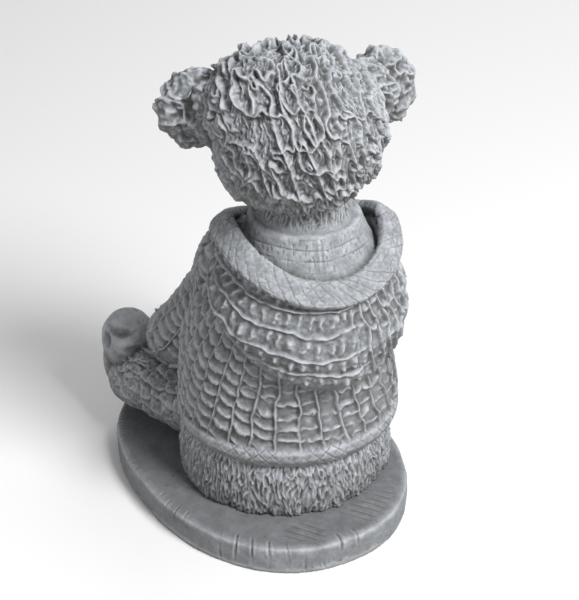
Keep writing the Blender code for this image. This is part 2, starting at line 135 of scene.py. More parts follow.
# Where a form sets in: the start, the length and, for the calm places, the least share
EYE_CALM = (7.0, 10.0, 0.12)
NECK_CALM = (184.0, 22.0, 0.55)
NECK_FUR = (178.0, 5.0)
MUZZLE_FRONT = (44.0, 6.0)
HOOD_ROWS_OUT = (0.9, 0.06)
HOOD_ROWS_UP = (-2.5, 2.0)
ROLL_BLOCKS = (158.0, 4.0)
FOOT_BACK = (-7.0, 5.0)
SLAB_CLEAR = (0.4, 1.5)
SLAB_EDGE = (0.955, 0.02)
SLAB_REAR = (70.0, 12.0)

# Incised lines, in shares: their spacing and half width, or the radius that they run at
ROLL_RADIUS = 34.0
ROLL_COURSE = (5.6, 0.3)
ROLL_BLOCK = (6.8, 0.28)
ROLL_SEAM = 0.7
RIM_SLANT = (6.3, 0.3)
RIM_CROSS = (8.8, 0.3)
RIM_ALONG = (3.9, 0.28)
HEM_RADIUS = 63.0
HEM_LATTICE = (7.5, 0.42)
# The same on the slab, in millimetres
SLAB_RADIUS = 95.0
SLAB_STROKE = (9.5, 0.55)
SLAB_COMB = (4.6, 0.6)

# Colours of the cement, of the painted highlight and shade on it, and of the dust on it
DARK_CEMENT = (0.150, 0.160, 0.172, 1.0)
MIDDLE_CEMENT = (0.205, 0.216, 0.230, 1.0)
PALE_CEMENT = (0.285, 0.300, 0.318, 1.0)
PALE_GRAIN = (0.40, 0.415, 0.435, 1.0)
# Paler on crests: partly wear, partly painted highlight
RUBBED_AND_HIGHLIT_CREST = (0.56, 0.575, 0.60, 1.0)
# Painted shade in wide hollows, with a slight brown grime tint
WIDE_HOLLOW_SHADE_AND_GRIME = (0.080, 0.080, 0.070, 1.0)
# Painted shade in narrow nooks and creases
NARROW_NOOK_SHADE = (0.066, 0.065, 0.058, 1.0)
# Painted shade on faces that turn down
UNDERSIDE_SHADE = (0.070, 0.067, 0.060, 1.0)
# Dust and painted shade on the slab's top
SLAB_DUST_AND_SHADE = (0.085, 0.087, 0.085, 1.0)
PINHOLE = (0.07, 0.07, 0.07, 1.0)
# How far the crests' wear and painted highlight, and the painted shade in hollows and nooks, go
# towards their colours
RELIEF_TONE_SHARE = 0.62
# Sizes of its patterns, in metres
CLOUD = 0.045
MOTTLE = 0.007
GRAIN = 0.0009
PIT = 0.0016
PINHOLE_GAP = 0.0052
PINHOLE_PATCH = 0.013

# The camera stands behind the bear's left shoulder and looks down
AIM = Vector((0.001, 0.039, 0.140))
VIEW_AZIMUTH = 150.0
VIEW_HEIGHT = 31.0
VIEW_DISTANCE = 1.0
SENSOR_WIDTH = 36.0
LENS = 108.0

# Lamps: right of the aim, above it and back from it, then the width and the power
LAMPS = {
    "key": ((0.70, 1.00, 0.72), 0.55, 24.5),
    "fill": ((-1.0, 0.9, 1.4), 1.2, 2.0),
    "far": ((0.5, 1.1, -1.5), 1.2, 9.0),
}
SKY_STRENGTH = 0.33
FLOOR_REACH = 6.0
FLOOR_COLOUR = (0.90, 0.90, 0.90, 1.0)
FLOOR_ROUGHNESS = 0.8


def ramp(value, start, length, least=0.0):
    """Rises to 1 over a length from a start, and stays there."""
    return np.clip((value - start) / length, least, 1.0)


def held(value):
    """The value, held between 0 and 1."""
    return np.clip(value, 0.0, 1.0)


def ridge(gap, width):
    """1 at a line, and falls away softly on both sides of it."""
    return np.exp(-((gap / width) ** 2))


def split(value):
    """The whole number below each value, and how far it is from the middle of its cell."""
    index = np.floor(value)
    return index, value - index - 0.5


def facing(normals, fall):
    """Two directions along the skin at each point: the way the fur falls and across it."""
    fall = fall - normals * (fall * normals).sum(axis=1)[:, None]
    fall /= np.linalg.norm(fall, axis=1)[:, None] + 1e-6
    return fall, np.cross(normals, fall)


def spoke(step, count, power):
    """A way out from a ring's middle, and how far a ring of that power reaches along it."""
    angle = 2.0 * pi * step / count
    c, s = cos(angle), sin(angle)
    return c, s, (abs(c) ** power + abs(s) ** power) ** (-1.0 / power)


class Ball:
    """An ellipsoid with its own turn."""

    def __init__(self, centre, radii, turn=(0.0, 0.0, 0.0)):
        self.centre = np.array(centre, float)
        self.radii = np.array(radii, float)
        self.turn = Euler([radians(angle) for angle in turn]).to_matrix()

    def add_to(self, mesh):
        place = Matrix.Translation(Vector(self.centre)) @ self.turn.to_4x4()
        place = place @ Matrix.Diagonal((*self.radii, 1.0))
        bmesh.ops.create_uvsphere(mesh, u_segments=40, v_segments=24, radius=1.0, matrix=place)

    def depth(self, points):
        local = (points - self.centre) @ np.array(self.turn)
        near = np.linalg.norm(local / self.radii, axis=1) + 1e-9
        slope = np.linalg.norm(local / self.radii ** 2, axis=1) + 1e-9
        return near * (near - 1.0) / slope


class Limb:
    """A tapering arm or leg: balls set close together along a bent line."""

    def __init__(self, points, radii, step=3.0):
        self.points = np.array(points, float)
        self.radii = np.array(radii, float)
        self.step = step
        lengths = np.linalg.norm(np.diff(self.points, axis=0), axis=1)
        self.starts = np.concatenate([[0.0], np.cumsum(lengths)])

    def add_to(self, mesh):
        count = int(self.starts[-1] / self.step) + 2
        for along in np.linspace(0.0, self.starts[-1], count):
            spot = [np.interp(along, self.starts, self.points[:, axis]) for axis in range(3)]
            radius = np.interp(along, self.starts, self.radii)
            bmesh.ops.create_icosphere(mesh, subdivisions=3, radius=radius,
                                       matrix=Matrix.Translation(Vector(spot)))

    def nearest(self, points):
        """The depth, the way along the limb and the foot point of each point."""
        best = np.full(len(points), 1e9)
        along = np.zeros(len(points))
        foot = np.zeros_like(points)
        for index in range(len(self.points) - 1):
            start = self.points[index]
            run = self.points[index + 1] - start
            share = held((points - start) @ run / (run @ run))
            spot = start + share[:, None] * run
            radius = self.radii[index] + share * (self.radii[index + 1] - self.radii[index])
            depth = np.linalg.norm(points - spot, axis=1) - radius
            closer = depth < best
            best = np.where(closer, depth, best)
            along = np.where(closer, self.starts[index] + share * np.linalg.norm(run), along)
            foot = np.where(closer[:, None], spot, foot)
        return best, along, foot

    def depth(self, points):
        return self.nearest(points)[0]

    def around(self, points, foot, along):
        """The angle about the limb, nought on the outer side of the bear."""
        index = np.clip(np.searchsorted(self.starts, along) - 1, 0, len(self.points) - 2)
        runs = np.diff(self.points, axis=0)
        axis = (runs / np.linalg.norm(runs, axis=1)[:, None])[index]
        side, front = facing(axis, np.array((1.0, 0.0, 0.0)))
        offset = points - foot
        return np.arctan2((offset * front).sum(axis=1), (offset * side).sum(axis=1))


class Stack:
    """Oval sections laid over each other: (height, side, back, half width, half length)."""

    def __init__(self, origin, sections, turn=0.0, fall=0.0, power=2.0):
        self.origin = np.array(origin, float)
        self.sections = np.array(sections, float)
        self.angle = radians(turn)
        self.fall = fall
        self.power = power

    def to_local(self, points):
        """Side, back and level of each point, with the fall towards the back taken out."""
        offset = points - self.origin
        side = offset[:, 0] * cos(self.angle) + offset[:, 1] * sin(self.angle)
        back = -offset[:, 0] * sin(self.angle) + offset[:, 1] * cos(self.angle)
        return side, back, offset[:, 2] + self.fall * back

    def to_world(self, side, back, level):
        x = self.origin[0] + side * cos(self.angle) - back * sin(self.angle)
        y = self.origin[1] + side * sin(self.angle) + back * cos(self.angle)
        return Vector((x, y, self.origin[2] + level - self.fall * back))

    def add_to(self, mesh, around=64):
        rings = []
        for level, side, back, half_width, half_length in self.sections:
            ring = []
            for step in range(around):
                c, s, reach = spoke(step, around, self.power)
                ring.append(mesh.verts.new(self.to_world(side + half_width * c * reach,
                                                         back + half_length * s * reach, level)))
            rings.append(ring)
        for lower, upper in zip(rings, rings[1:]):
            for step in range(around):
                ahead = (step + 1) % around
                mesh.faces.new((lower[step], lower[ahead], upper[ahead], upper[step]))
        mesh.faces.new(list(reversed(rings[0])))
        mesh.faces.new(rings[-1])

    def oval(self, points):
        """How far out each point is in its own section, and the mean radius there."""
        side, back, level = self.to_local(points)
        values = [np.interp(level, self.sections[:, 0], self.sections[:, column])
                  for column in range(1, 5)]
        out = (np.abs((side - values[0]) / values[2]) ** self.power
               + np.abs((back - values[1]) / values[3]) ** self.power) ** (1.0 / self.power)
        return out, np.sqrt(values[2] * values[3]), level

    def depth(self, points):
        out, radius, level = self.oval(points)
        over = np.maximum(level - self.sections[-1, 0], self.sections[0, 0] - level)
        return np.maximum((out - 1.0) * radius, over)

    def around(self, points):
        """The angle about the stack, nought at the back."""
        side, back, level = self.to_local(points)
        centre_side = np.interp(level, self.sections[:, 0], self.sections[:, 1])
        centre_back = np.interp(level, self.sections[:, 0], self.sections[:, 2])
        return np.arctan2(side - centre_side, back - centre_back)


class Band:
    """A flat band that runs in a loop, its face leaning outwards and down."""

    def __init__(self, stack, path, half_width, half_thickness, lean, power=4):
        lean = radians(lean)
        self.power = power
        self.half_width = half_width
        self.half_thickness = half_thickness
        self.path = np.array([stack.to_world(*spot) for spot in path])
        ahead = np.roll(self.path, -1, axis=0) - np.roll(self.path, 1, axis=0)
        self.tangents = ahead / np.linalg.norm(ahead, axis=1)[:, None]
        outward = np.cross((0.0, 0.0, 1.0), self.tangents)
        outward /= np.linalg.norm(outward, axis=1)[:, None]
        upward = np.cross(self.tangents, outward)
        self.across = outward * cos(lean) - upward * sin(lean)
        self.face = outward * sin(lean) + upward * cos(lean)

    def add_to(self, mesh, around=20):
        rings = []
        for spot, across, face in zip(self.path, self.across, self.face):
            ring = []
            for step in range(around):
                c, s, reach = spoke(step, around, self.power)
                ring.append(mesh.verts.new(spot + across * self.half_width * c * reach
                                           + face * self.half_thickness * s * reach))
            rings.append(ring)
        for index, ring in enumerate(rings):
            other = rings[(index + 1) % len(rings)]
            for step in range(around):
                ahead = (step + 1) % around
                mesh.faces.new((ring[step], other[step], other[ahead], ring[ahead]))

    def local(self, points):
        """The way along, the place across and the height over the band's middle."""
        best = np.full(len(points), 1e9)
        found = np.zeros(len(points), int)
        for index, spot in enumerate(self.path):
            gap = ((points - spot) ** 2).sum(axis=1)
            closer = gap < best
            best = np.where(closer, gap, best)
            found = np.where(closer, index, found)
        offset = points - self.path[found]
        step = np.linalg.norm(self.path[1] - self.path[0])
        along = found * step + (offset * self.tangents[found]).sum(axis=1)
        across = (offset * self.across[found]).sum(axis=1)
        return along, across, (offset * self.face[found]).sum(axis=1)

    def depth(self, points):
        _, across, height = self.local(points)
        near = ((across / self.half_width) ** self.power
                + (height / self.half_thickness) ** self.power) ** (1.0 / self.power)
        return (near - 1.0) * self.half_thickness


def on_head(points):
    """How far each point lies to the left, forward and above the middle of the head."""
    angle = radians(HEAD_TURN)
    offset = points - np.array(HEAD_CENTRE)
    side = offset[:, 0] * cos(angle) + offset[:, 1] * sin(angle)
    forward = offset[:, 0] * sin(angle) - offset[:, 1] * cos(angle)
    return side, forward, offset[:, 2]


# The bear's parts, in shares, with heights above the slab
HEAD_CENTRE = (-0.5, 45.0, 230.0)
HEAD_RADIUS = 45.5
EAR_SIDE = 50.0
EAR_FORWARD = 19.0
EAR_RISE = 8.0
EAR_RADII = (20.5, 10.5, 23.5)
EAR_ROOT_INSET = (14.0, 11.0, 0.0)
HOOD_ORIGIN = (-8.9, 39.3, 165.2)
HOOD_FALL = 0.32
RIM_SIDE = 46.2
RIM_BACK = 48.6
RIM_FRONT = 42.6
RIM_SHOULDER_RISE = 5.0
RIM_LEFT_RISE = 3.2
RIM_CHEST_FALL = 25.0

hips = Stack((-8.0, 18.0, 0.0), [(-6, 0, 0, 57, 55), (2, 0, 0, 60, 58), (14, 0, 0, 62, 60),
                                 (28, 0, 0, 61, 59), (40, 0, 0, 57, 55)])
torso = Stack((-9.5, 18.0, 0.0), [(30, 0, 0, 57, 55), (46, -1, 0, 64, 62), (68, 0, 0, 62.5, 60),
                                  (92, 1, 1, 60, 58), (114, 1, 4, 54, 54), (134, 2, 7, 46, 48),
                                  (148, 2, 10, 37, 40), (156, 2, 12, 26, 30)])
hem = Stack((-9.5, 18.5, 0.0), [(34, 0, 0, 60, 59), (36, 0, 0, 63, 62), (41, 0, 0, 65.5, 64.5),
                                (46, 0, 0, 65, 64), (50, 0, 0, 60, 59)])
hood = Stack(HOOD_ORIGIN, [(-72, -6, -6, 24, 34), (-63, -4, 0, 39, 46), (-50, -2, 4, 50, 51.5),
                           (-32, 0.5, 6, 55.5, 52), (-16, 1, 8, 49, 44), (-6, 0, 12, 43, 36.5)],
             turn=HOOD_TURN, fall=HOOD_FALL)


def round_stack(middle, sections):
    """A stack of circles: (height, radius)."""
    return Stack((*middle, 0.0), [(level, 0, 0, radius, radius) for level, radius in sections])


roll = round_stack((-7.0, 42.0), [(138, 41), (152, 41), (157, 39.5), (160, 37.6), (163, 36),
                                  (168, 34), (173, 32), (176, 31), (177.5, 29.5)])
neck = round_stack((-6.5, 42.5), [(168, 28.5), (175, 28), (182, 24.5), (190, 22.5), (200, 22)])


def rim_path(scale=1.0, level=0.0, count=72):
    """The hood's edge: low at the back, high over the shoulders and falling to the chest."""
    path = []
    for step in range(count):
        angle = 2.0 * pi * step / count
        side, back = sin(angle), cos(angle)
        rise = RIM_SHOULDER_RISE * side ** 2 + RIM_LEFT_RISE * side
        rise -= RIM_CHEST_FALL * max(-back, 0.0)
        reach = RIM_BACK if back > 0.0 else RIM_FRONT
        path.append((RIM_SIDE * scale * side, reach * scale * back, rise + level))
    return path


rim = Band(hood, rim_path(), 7.8, 3.6, 42.0)
wall = Band(hood, rim_path(0.95, -12.0), 10.0, 4.5, 78.0)


def on_head_at(side, forward, height, radii):
    """A ball to the left of the head's middle, forward of it and above it, turned with it."""
    angle = radians(HEAD_TURN)
    x = HEAD_CENTRE[0] + side * cos(angle) + forward * sin(angle)
    y = HEAD_CENTRE[1] + side * sin(angle) - forward * cos(angle)
    return Ball((x, y, HEAD_CENTRE[2] + height), radii, (0.0, 0.0, HEAD_TURN))


def ear(sign):
    """The ear and the broad foot with which it grows out of the head."""
    inset = np.array(EAR_ROOT_INSET)
    tip = on_head_at(sign * EAR_SIDE, EAR_FORWARD, EAR_RISE, EAR_RADII)
    side, forward, height = np.array((EAR_SIDE, EAR_FORWARD, EAR_RISE)) - inset
    return [tip, on_head_at(sign * side, forward, height, EAR_RADII)]


left_arm = Limb([(18.5, 13, 144), (15.5, -12, 108), (29, -39, 65), (24, -58, 55), (15, -66, 52)],
                [21, 20, 20, 18.5, 16])
right_arm = Limb([(-34, 13, 144), (-38, -14, 108), (-46, -40, 65), (-40, -58, 55),
                  (-31, -66, 52)], [21, 21, 20, 18.5, 16])
left_leg = Limb([(15, -3, 22), (40, -56, 29), (45, -73, 22)], [23, 20.5, 18])
right_leg = Limb([(-31, -3, 22), (-46, -56, 29), (-50, -73, 22)], [23, 21.5, 18.5])
left_foot = Limb([(46, -81, 42), (46, -81, 48.5)], [16, 16.7])
right_foot = Limb([(-50, -81, 42), (-50, -81, 50)], [16, 17])
left_sole = Ball((48, -87, 34), (14, 8, 26), (-6.0, 0.0, 14.0))
right_sole = Ball((-52, -87, 34), (14, 8, 26), (-6.0, 0.0, -14.0))
left_cuff = Limb([(14, -67, 52), (11.5, -68.5, 51.5)], [17.3, 16.8])
right_cuff = Limb([(-30, -67, 52), (-27.5, -68.5, 51.5)], [17.3, 16.8])
left_paw = Ball((4.0, -73, 50), (14, 13, 13.5), (0.0, 0.0, 20.0))
right_paw = Ball((-20.0, -73, 50), (14, 13, 13.5), (0.0, 0.0, -20.0))
head = on_head_at(0, 0, 0, [HEAD_RADIUS] * 3)
crown = on_head_at(17.5, 0, 14, [31.5] * 3)
jaw = on_head_at(0, 13, -11, (39, 36, 35))
cheeks = [on_head_at(side, 6, -18, [28] * 3) for side in (-13.5, 13.5)]
muzzle = on_head_at(0, 40, -12, (22, 20, 17))
nose = on_head_at(0, 58, -3, (9.0, 6.0, 6.5))
eyes = [on_head_at(side, 43, 12, [5.8] * 3) for side in (-17, 17)]

def scatter(cell, channel):
    """An even spread of numbers from 0 to 1, one for each whole-numbered cell."""
    mix = cell[..., 0] * 73856093 ^ cell[..., 1] * 19349663 ^ cell[..., 2] * 83492791
    mix = (mix ^ channel * 2654435761) & 0xFFFFFFFF
    mix = ((mix ^ (mix >> 15)) * 2246822519) & 0xFFFFFFFF
    mix = ((mix ^ (mix >> 13)) * 3266489917) & 0xFFFFFFFF
    return ((mix ^ (mix >> 16)) & 0xFFFFFF) / float(0xFFFFFF)


def swell(points, size, channel):
    """Soft noise from -1 to 1 that changes over the given size; the channel picks which."""
    place = points / size
    low = np.floor(place).astype(np.int64)
    share = place - low
    share = share * share * (3.0 - 2.0 * share)
    total = np.zeros(len(points))
    for corner in np.ndindex(2, 2, 2):
        pick = np.array(corner)
        weight = np.prod(np.where(pick, share, 1.0 - share), axis=1)
        total += weight * scatter(low + pick, channel)
    return total * 2.0 - 1.0


def cells(points, size, channel):
    """Distance to the nearest and to the next scattered seed, in cells."""
    place = points / np.array(size)
    low = np.floor(place).astype(np.int64)
    first = np.full(len(points), 9.0)
    second = np.full(len(points), 9.0)
    for corner in np.ndindex(3, 3, 3):
        cell = low + np.array(corner) - 1
        seed = cell + 0.15 + 0.7 * np.stack([scatter(cell, channel + k) for k in range(3)], axis=1)
        gap = np.linalg.norm(place - seed, axis=1)
        second = np.minimum(second, np.maximum(first, gap))
        first = np.minimum(first, gap)
    return first, second


def net(points, size, channel, width=0.45, warp=0.25):
    """Thin crests round scooped cells: 1 on a crest and 0 in a scoop."""
    span = np.array(size)
    bend = np.stack([swell(points, span * 1.6, channel + 20 + k) for k in range(3)], axis=1)
    first, second = cells(points + bend * span * warp, size, channel)
    return held(1.0 - (second - first) / width) ** 1.5


def braid(points, size, channel, width, rough=0.35):
    """Winding crests that part and meet round lens-shaped hollows: 1 on a crest."""
    step = 0.3
    ragged = 1.0 + rough * swell(points, 2.2, channel + 5) + rough * swell(points, 1.2, channel + 6)
    total = np.zeros(len(points))
    for layer in (channel, channel + 2):
        levels = []
        for shift in (np.zeros(3), np.array((step, 0.0, 0.0)), np.array((0.0, step, 0.0))):
            place = (points + shift) / np.array(size)
            levels.append(swell(place, 1.0, layer) + 0.3 * swell(place * 2.3, 1.0, layer + 1))
        slope = np.hypot(levels[1] - levels[0], levels[2] - levels[0]) / step
        gap = np.abs(levels[0]) / np.maximum(slope, 0.05) * ragged
        total = np.maximum(total, np.exp(-((gap / width) ** 1.4)))
    return total


def luck_of(channel, index, row=None):
    """A number from 0 to 1 for each column, or for each stitch of a column."""
    cell = np.stack([index, index * 0 if row is None else row, index * 0], axis=1)
    return scatter(cell.astype(np.int64), channel)


def column_crest(across, column_size, points):
    """Thin upright crests between the columns of the knitting."""
    crest = ridge((0.5 - np.abs(across)) * column_size, KNIT_CREST)
    return crest * (0.8 + 0.35 * swell(points, 5.0, 70))


def scoops(column, rung, column_size, points, tilt=0.0, crest_height=1.0):
    """Knitting: in each column, scoops that rise to a keen curved lip at the lower end."""
    index, across = split(column)
    lean = tilt + (luck_of(8, index) - 0.5) * 0.3
    place = luck_of(5, index) - rung + 0.3 * 4.0 * across ** 2 + lean * across
    row = np.floor(place)
    lip = (place - row) ** 2.4 * (0.62 + 0.38 * luck_of(7, index, row))
    lip *= 1.0 - 0.5 * (2.0 * across) ** 4
    return np.maximum(crest_height * column_crest(across, column_size, points), lip)


def lumps(column, rung, column_size, rung_size, points):
    """Knitting: in each column, broken lumpy rungs with pits between them."""
    index, across = split(column)
    row, middle = split(rung + luck_of(5, index) + 0.22 * swell(points, 4.0, 68))
    luck = luck_of(7, index, row)
    gap = (middle + 0.3 * (luck_of(6, index, row) - 0.5)) * rung_size
    step = ridge(gap, 0.9 + 0.9 * luck) * (0.15 + 0.75 * luck)
    step *= np.clip(0.75 + 0.9 * swell(points, 3.4, 69), 0.0, 1.3)
    pits = ridge(cells(points, (6.5, 6.5, 6.5), 66)[0], 0.2)
    return np.maximum(column_crest(across, column_size, points), step - 0.5 * pits)


def ropes(row, rib, row_size, rib_size, points):
    """Knitting: thin crests round the hood with a row of upright nubs between each two."""
    index, across = split(row)
    crest = ridge((0.5 - np.abs(across)) * row_size, KNIT_CREST)
    crest *= 0.64 + 0.45 * swell(points, 4.0, 70)
    nub, middle = split(rib + luck_of(5, index) + 0.25 * across)
    luck = luck_of(7, index, nub)
    gap = (middle + 0.25 * (luck_of(6, index, nub) - 0.5)) * rib_size
    height = across * row_size - 2.0 * (luck_of(4, index, nub) - 0.5)
    body = np.exp(-((gap / (1.3 + 0.7 * luck)) ** 2) - (np.abs(height) / 3.2) ** 3)
    body *= np.clip(0.5 + 0.5 * luck + 0.5 * swell(points, 2.2, 69), 0.0, 1.2)
    return np.maximum(crest, body)


def scales(around, along, points):
    """Overlapping locks: each rises along its length to a curved lip and drops behind it."""
    total = np.zeros(len(points))
    for layer in (0, 1):
        index, aside = split(around + 0.5 * layer)
        place = 0.5 * (along + layer) + 0.35 * 4.0 * aside ** 2
        place += 0.5 * luck_of(57 + layer, index)
        row = np.floor(place)
        luck = luck_of(59 + layer, index, row)
        rise = (place - row) ** 1.9 * (0.55 + 0.45 * luck)
        total = np.maximum(total, rise * (1.0 - 0.7 * (2.0 * aside) ** 4))
    return total


def tufts(points, normals, size, long, wide, channel, jitter=0.5, edge=1.0):
    """Overlapping locks, each with a keen crest that rises to a pointed tip."""
    drift = np.stack([swell(points, size * 2.2, channel + 30 + k) for k in range(3)], axis=1)
    fall, across = facing(normals, np.array((0.0, 0.0, -1.0)) + 0.45 * drift)
    place = points / size
    low = np.floor(place).astype(np.int64)
    total = np.zeros(len(points))
    for corner in np.ndindex(3, 3, 3):
        cell = low + np.array(corner) - 1
        luck = [scatter(cell, channel + k) for k in range(6)]
        offset = (place - cell - np.stack(luck[:3], axis=1)) * size
        turn = (luck[3] - 0.5) * 2.0 * jitter
        down = (offset * fall).sum(axis=1)
        aside = (offset * across).sum(axis=1)
        down, aside = (down * np.cos(turn) + aside * np.sin(turn),
                       aside * np.cos(turn) - down * np.sin(turn))
        out = np.abs((offset * normals).sum(axis=1)) / size
        step = down / (long * (0.7 + 0.5 * luck[4]))
        aside = aside - 0.12 * wide * np.sin(step * 5.0 + luck[5] * 6.0)
        half = wide * held(np.minimum(1.0 - step, 1.6 + step)) ** 0.7 + 1e-6
        keen = held(1.0 - np.abs(aside) / half) ** edge
        rise = held((step + 1.1) / 2.1)
        height = keen * (0.25 + 0.75 * rise) * (0.65 + 0.35 * luck[5])
        height *= (np.abs(step) < 1.0) * held(2.0 - 2.0 * out)
        total = np.maximum(total, height)
    return total


def grit(points):
    """The rough dry face of the cast, too coarse to be grain."""
    return 0.16 * swell(points, 1.5, 80) + 0.12 * swell(points, 3.2, 81)


def scratch(value, spacing, width):
    """Incised lines: -1 in the middle of a line, with a low burr on each side of it."""
    gap = np.abs(split(value / spacing)[1]) * spacing
    return 0.35 * ridge(gap - 2.2 * width, width) - ridge(gap, width)


def carve_knit(points, normals):
    """The columns fan out downwards over the back, lumpy behind and scooped at the side."""
    angle = torso.around(points)
    fan = 0.006 * (points[:, 2] - 60.0) * np.sin(angle - 0.45)
    zigzag = swell(points, np.array((9.0, 9.0, 6.0)), 2) * 0.1
    sway = swell(points, 14.0, 3) * 0.12 + zigzag
    column = (angle + fan) / (2.0 * pi) * KNIT_COLUMNS + sway
    rung = points[:, 2] / KNIT_RUNG + swell(points, 16.0, 4) * 0.2
    shade = held((angle - 0.62) / 0.3 + 0.4 * swell(points, 14.0, 1))
    side = 1.4 * scoops(column, rung, KNIT_COLUMN, points, tilt=0.7, crest_height=0.75)
    back = lumps(column, rung, KNIT_COLUMN, KNIT_RUNG, points)
    return KNIT_DEPTH * (back + (side - back) * shade - 0.3) + grit(points)


def carve_sleeve(points, normals, arm):
    """Scooped columns down the arm, which run over into the back's at the shoulder."""
    _, along, foot = arm.nearest(points)
    angle = arm.around(points, foot, along)
    column = angle / (2.0 * pi) * SLEEVE_COLUMNS + 0.5 + swell(points, 12.0, 3) * 0.2
    rung = -along / SLEEVE_RUNG + swell(points, 16.0, 4) * 0.25
    rows = scoops(column, rung, SLEEVE_COLUMN, points, crest_height=0.85)
    start, ahead = arm.points[:2]
    over = (points - start) @ (start - ahead) / np.linalg.norm(start - ahead)
    fade = held(1.0 - over / SLEEVE_END)
    own = SLEEVE_DEPTH * (rows - 0.35) + grit(points)
    return fade * own + (1.0 - fade) * carve_knit(points, normals)


def carve_hood(points, normals):
    """Ropes of nubs round the back, turning to long ribs at the bear's right."""
    out, _, level = hood.oval(points)
    well = ramp(out, *HOOD_ROWS_OUT) * ramp(wall.local(points)[2], *HOOD_ROWS_UP)
    angle = hood.around(points)
    row = level / HOOD_ROW + HOOD_START
    row += swell(points, 15.0, 6) * 0.19 + swell(points, 6.0, 9) * 0.08
    rib = angle / (2.0 * pi) * HOOD_RIBS + swell(points, 9.0, 7) * 0.3
    rows = ropes(row, rib, HOOD_ROW, HOOD_RIB, points)
    ribs = lumps(rib, row * 1.3, HOOD_RIB, HOOD_RIB_RUNG, points)
    turned_over = held((-angle - 0.22) / 0.22) * (angle > -2.2)
    relief = HOOD_DEPTH * (rows + (ribs - rows) * turned_over - 0.3)
    return well * (relief + 0.5 * np.maximum(swell(points, 2.4, 67), 0.0)) + 1.5 * grit(points)


def fur_map(points):
    """The head's skin laid out flat: across the fur, along it, and nought."""
    offset = points - np.array(HEAD_CENTRE)
    rise = np.cross(FUR_SIDE, FUR_AXIS)
    axis, side, along = (offset @ way for way in (FUR_AXIS, FUR_SIDE, -rise))
    flat = np.hypot(side, along) + 1e-6
    reach = HEAD_RADIUS * np.arctan2(flat, np.abs(axis))
    across = side / flat * reach + HEAD_SLANT * along / flat * reach
    return np.stack([across, along / flat * reach, 0.0 * reach], axis=1)


def carve_head(points, normals):
    """Winding crests round lens-shaped hollows, calmer round the eyes and near the neck."""
    gap = np.min([np.linalg.norm(points - eye.centre, axis=1) for eye in eyes], axis=0)
    calm = ramp(gap, *EYE_CALM)
    low = ramp(points[:, 2], *NECK_CALM)
    places = fur_map(points)
    locks = braid(places, HEAD_LOCK, 11, HEAD_CREST)
    locks *= np.clip(0.85 + 0.5 * swell(points, 5.0, 12), 0.4, 1.2)
    strands = tufts(points, normals, 4.0, 5.5, 1.1, 111)
    crumbs = np.maximum(swell(points, 2.2, 13), 0.0)
    relief = HEAD_DEPTH * low * (np.maximum(locks, 0.45 * strands) - 0.4)
    return calm * (relief + (0.8 + 1.6 * (1.0 - low)) * crumbs) + 1.8 * grit(points)


def carve_ear(points, normals):
    """Broad soft lumps and a few wandering broken crests round wide scoops."""
    soft = swell(points, 11.0, 38)
    broken = np.clip(0.6 + 1.1 * swell(points, 5.0, 39), 0.0, 1.2)
    places = np.stack([points[:, 0] + 0.5 * points[:, 1], points[:, 2], points[:, 1]], axis=1)
    wide = braid(places, EAR_SCOOP, 31, EAR_CREST, rough=0.5)
    return (EAR_DEPTH * (wide * broken - 0.3) + 2.2 * soft + 1.2 * swell(points, 5.0, 36)
            + 0.9 * swell(points, 2.4, 37) + 2.0 * grit(points))


def carve_skirt(points, normals):
    """Hanging strands in locks, which spread out over the slab."""
    strands = tufts(points, normals, 4.6, 8.5, 2.2, 41, jitter=0.45, edge=0.9)
    waves = net(points, SKIRT_LOCK, 45, width=0.62, warp=0.8)
    locks = swell(points, np.array((9.0, 9.0, 22.0)), 48)
    low = held((16.0 - points[:, 2]) / 10.0)
    return (SKIRT_DEPTH * (strands - 0.3) + 1.0 * (waves - 0.3) + (0.8 + low) * locks
            + 1.4 * low + grit(points))


def carve_limb_fur(points, limbs):
    """Overlapping crescents whose lips point outwards, down and towards the foot."""
    nearest = [limb.nearest(points) for limb in limbs]
    first = nearest[0][0] < nearest[1][0]
    total = np.zeros(len(points))
    for own, sign, limb, found in zip((first, ~first), (1.0, -1.0), limbs, nearest):
        if own.any():
            spots = points[own]
            forth = found[1][own]
            angle = limb.around(spots, found[2][own], forth)
            drop = -LEG_RADIUS * np.arctan2(np.sin(angle), sign * np.cos(angle))
            column = (0.8 * forth - 0.6 * drop) / LEG_SCALE[0] + 0.3 * swell(spots, 8.0, 53)
            row = (0.6 * forth + 0.8 * drop) / LEG_SCALE[1] + 0.4 * swell(spots, 7.0, 54)
            end = held((limb.starts[-1] - forth) / 5.0)
            total[own] = 0.35 + end * (scales(column, row, spots) - 0.35)
    return total


def carve_leg(points, normals):
    locks = carve_limb_fur(points, (left_leg, right_leg))
    small = net(points, (2.8, 2.8, 5.0), 55, width=0.6, warp=0.6)
    return LEG_DEPTH * (locks - 0.35) + 0.5 * (small - 0.3) + grit(points)


def carve_paw(points, normals):
    locks = tufts(points, normals, 7.0, 7.5, 4.0, 51, jitter=0.4)
    return 0.7 * LEG_DEPTH * (locks - 0.35) + grit(points)


def carve_foot(points, normals):
    """Three shallow hollows and a few soft folds on the side away from the sole."""
    total = np.zeros(len(points))
    for foot, sign in ((left_foot, 1.0), (right_foot, -1.0)):
        local = points - foot.points[1]
        outward = 0.866 * sign * local[:, 0] - 0.5 * local[:, 1]
        upward = local[:, 2]
        behind = ramp(local[:, 1], *FOOT_BACK) * (foot.depth(points) < 4.0)
        for out, up, wide, high, deep in FOOT_HOLLOWS:
            gap = ((outward - out) / wide) ** 2 + ((upward - up) / high) ** 2
            total -= behind * deep * np.exp(-gap ** 1.5)
        aside, over = outward - FOLD_CENTRE[0], upward - FOLD_CENTRE[1]
        fold = np.sin(np.arctan2(over, aside) * 5.0 + 0.7 * swell(points, 9.0, 64))
        total += 0.6 * behind * (fold * held(np.hypot(aside, over) / 14.0))
    return total + 0.6 * swell(points, 7.0, 63) + 0.7 * grit(points)


